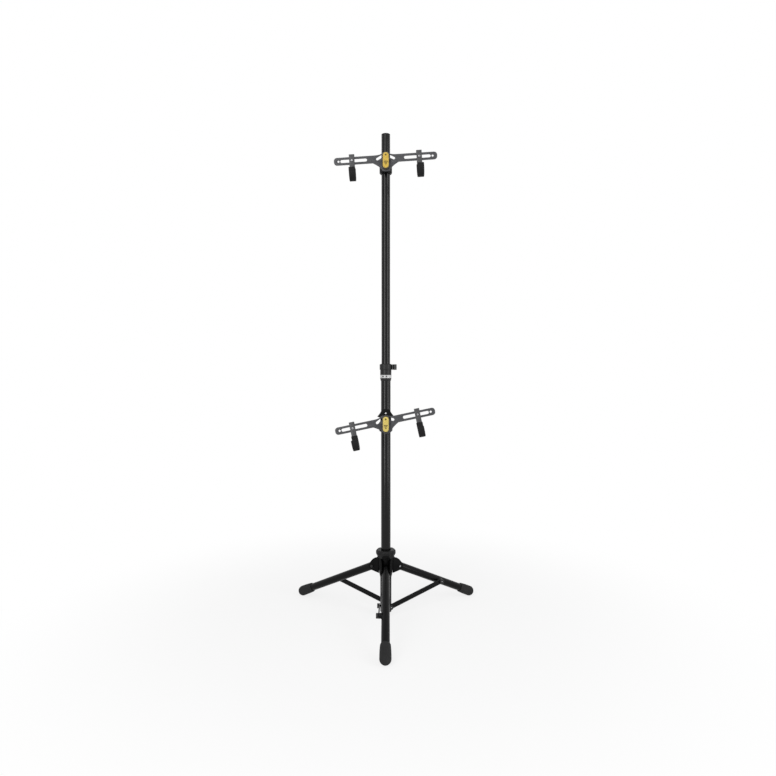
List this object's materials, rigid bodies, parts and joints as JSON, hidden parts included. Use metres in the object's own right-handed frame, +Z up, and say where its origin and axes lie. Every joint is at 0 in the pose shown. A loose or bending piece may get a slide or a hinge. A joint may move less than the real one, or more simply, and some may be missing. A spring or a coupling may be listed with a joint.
{
  "type": "bike storage tower",
  "caption": "Free-standing storage tower with a folding tripod, a telescoping pole, and tilting slotted arms that carry padded hooks.",
  "frame": {"origin": "middle of the footprint on the floor, under the box of the whole tower", "axes": "+Z up along the pole, -Y towards the side with the arms and the front leg, +X to the right seen from that side"},
  "size_m": [0.824, 0.72, 2.0585],
  "materials": {
    "black_paint": "satin black powder coat",
    "black_plastic": "fine-grained black",
    "grey_paint": "satin dark grey coat",
    "rubber": "matt black",
    "yellow_plastic": "semi-gloss yellow",
    "light_band": "light grey",
    "steel": "zinc plated"
  },
  "bodies": {
    "base": {"lower_tube": "black_paint", "base_sleeve": "black_paint", "base_plug": "black_plastic", "height_collar": "black_plastic", "collar_band": "light_band", "clamp_ring": "black_plastic", "clamp_bolt": "steel", "lever_pin": "steel", "front_strut_lower_bolt": "black_plastic", "right_strut_lower_bolt": "black_plastic", "left_strut_lower_bolt": "black_plastic"},
    "height_lever": {"clamp_lever": "black_plastic"},
    "mast": {"upper_tube": "black_paint", "pole_cap": "black_plastic"},
    "hub": {"hub": "black_paint"},
    "hub_ring": {"hub_lock_ring": "black_plastic"},
    "front_leg": {"front_leg": "black_paint", "front_leg_boot": "rubber", "front_leg_bolt": "steel"},
    "front_strut": {"front_strut": "black_paint", "front_strut_upper_bolt": "black_plastic"},
    "right_leg": {"right_leg": "black_paint", "right_leg_boot": "rubber", "right_leg_bolt": "steel"},
    "right_strut": {"right_strut": "black_paint", "right_strut_upper_bolt": "black_plastic"},
    "left_leg": {"left_leg": "black_paint", "left_leg_boot": "rubber", "left_leg_bolt": "steel"},
    "left_strut": {"left_strut": "black_paint", "left_strut_upper_bolt": "black_plastic"},
    "upper_slider": {"upper_liner": "black_plastic"},
    "upper_carriage": {"upper_carriage": "black_plastic", "upper_backplate": "black_paint", "upper_backplate_screw": "steel", "upper_cover": "yellow_plastic", "upper_tilt_bolt": "steel"},
    "upper_knob": {"upper_clamp_knob": "black_plastic"},
    "upper_arm": {"upper_arm": "grey_paint"},
    "upper_left_hook": {"upper_left_hook": "grey_paint", "upper_left_hook_grip": "rubber", "upper_left_hook_screw": "steel"},
    "upper_right_hook": {"upper_right_hook": "grey_paint", "upper_right_hook_grip": "rubber", "upper_right_hook_screw": "steel"},
    "lower_slider": {"lower_liner": "black_plastic"},
    "lower_carriage": {"lower_carriage": "black_plastic", "lower_backplate": "black_paint", "lower_backplate_screw": "steel", "lower_cover": "yellow_plastic", "lower_tilt_bolt": "steel"},
    "lower_knob": {"lower_clamp_knob": "black_plastic"},
    "lower_arm": {"lower_arm": "grey_paint"},
    "lower_left_hook": {"lower_left_hook": "grey_paint", "lower_left_hook_grip": "rubber", "lower_left_hook_screw": "steel"},
    "lower_right_hook": {"lower_right_hook": "grey_paint", "lower_right_hook_grip": "rubber", "lower_right_hook_screw": "steel"}
  },
  "joints": [
    {"name": "height_slide", "type": "slide", "parent": "base", "child": "mast", "axis": [0, 0, 1], "range_m": [-0.4, 0.1]},
    {"name": "height_lever_turn", "type": "hinge", "parent": "base", "child": "height_lever", "pos_m": [0.0375, 0.14398, 1.0743], "axis": [0, 0, 1], "range_deg": [0, 160]},
    {"name": "tripod_fold", "type": "slide", "parent": "base", "child": "hub", "axis": [0, 0, 1], "range_m": [0, 0.3396]},
    {"name": "hub_ring_turn", "type": "hinge", "parent": "hub", "child": "hub_ring", "pos_m": [0, 0.11248, 0.27], "axis": [0, 0, 1], "range_deg": [0, 90]},
    {"name": "front_leg_fold", "type": "hinge", "parent": "hub", "child": "front_leg", "pos_m": [0, 0.05548, 0.2094], "axis": [1, 0, 0], "range_deg": [0, 64.52]},
    {"name": "front_strut_fold", "type": "hinge", "parent": "base", "child": "front_strut", "pos_m": [0, 0.10598, 0.0404], "axis": [-1, 0, 0], "range_deg": [0, 65.45]},
    {"name": "right_leg_fold", "type": "hinge", "parent": "hub", "child": "right_leg", "pos_m": [0.04936, 0.14098, 0.2094], "axis": [-0.5, 0.866, 0], "range_deg": [0, 64.52]},
    {"name": "right_strut_fold", "type": "hinge", "parent": "base", "child": "right_strut", "pos_m": [0.00563, 0.11573, 0.0404], "axis": [0.5, -0.866, 0], "range_deg": [0, 65.45]},
    {"name": "left_leg_fold", "type": "hinge", "parent": "hub", "child": "left_leg", "pos_m": [-0.04936, 0.14098, 0.2094], "axis": [-0.5, -0.866, 0], "range_deg": [0, 64.52]},
    {"name": "left_strut_fold", "type": "hinge", "parent": "base", "child": "left_strut", "pos_m": [-0.00563, 0.11573, 0.0404], "axis": [0.5, 0.866, 0], "range_deg": [0, 65.45]},
    {"name": "upper_arm_height", "type": "slide", "parent": "mast", "child": "upper_slider", "axis": [0, 0, 1], "range_m": [-0.32, 0.09]},
    {"name": "upper_arm_swivel", "type": "hinge", "parent": "upper_slider", "child": "upper_carriage", "pos_m": [0, 0.11248, 1.9268], "axis": [0, 0, 1], "continuous": true},
    {"name": "upper_knob_turn", "type": "hinge", "parent": "upper_carriage", "child": "upper_knob", "pos_m": [0, 0.16248, 1.9128], "axis": [0, 1, 0], "continuous": true},
    {"name": "upper_arm_tilt", "type": "hinge", "parent": "upper_carriage", "child": "upper_arm", "pos_m": [0, 0.06248, 1.9268], "axis": [0, -1, 0], "range_deg": [-33.73, 26.27]},
    {"name": "upper_left_hook_slide", "type": "slide", "parent": "upper_arm", "child": "upper_left_hook", "axis": [0.9979, 0, 0.0651], "range_m": [-0.044, 0.059]},
    {"name": "upper_right_hook_slide", "type": "slide", "parent": "upper_arm", "child": "upper_right_hook", "axis": [0.9979, 0, 0.0651], "range_m": [-0.059, 0.044]},
    {"name": "lower_arm_height", "type": "slide", "parent": "base", "child": "lower_slider", "axis": [0, 0, 1], "range_m": [-0.42, 0.14]},
    {"name": "lower_arm_swivel", "type": "hinge", "parent": "lower_slider", "child": "lower_carriage", "pos_m": [0, 0.11248, 0.8331], "axis": [0, 0, 1], "continuous": true},
    {"name": "lower_knob_turn", "type": "hinge", "parent": "lower_carriage", "child": "lower_knob", "pos_m": [0, 0.16248, 0.8191], "axis": [0, 1, 0], "continuous": true},
    {"name": "lower_arm_tilt", "type": "hinge", "parent": "lower_carriage", "child": "lower_arm", "pos_m": [0, 0.06248, 0.8331], "axis": [0, -1, 0], "range_deg": [-41.9, 18.1]},
    {"name": "lower_left_hook_slide", "type": "slide", "parent": "lower_arm", "child": "lower_left_hook", "axis": [0.9785, 0, 0.2062], "range_m": [-0.044, 0.059]},
    {"name": "lower_right_hook_slide", "type": "slide", "parent": "lower_arm", "child": "lower_right_hook", "axis": [0.9785, 0, 0.2062], "range_m": [-0.059, 0.044]}
  ],
  "couplings": [
    {"joint": "front_leg_fold", "follows": "tripod_fold", "rad_per_m": 3.3149},
    {"joint": "front_strut_fold", "follows": "tripod_fold", "rad_per_m": 3.3629},
    {"joint": "right_leg_fold", "follows": "tripod_fold", "rad_per_m": 3.3149},
    {"joint": "right_strut_fold", "follows": "tripod_fold", "rad_per_m": 3.3629},
    {"joint": "left_leg_fold", "follows": "tripod_fold", "rad_per_m": 3.3149},
    {"joint": "left_strut_fold", "follows": "tripod_fold", "rad_per_m": 3.3629}
  ]
}
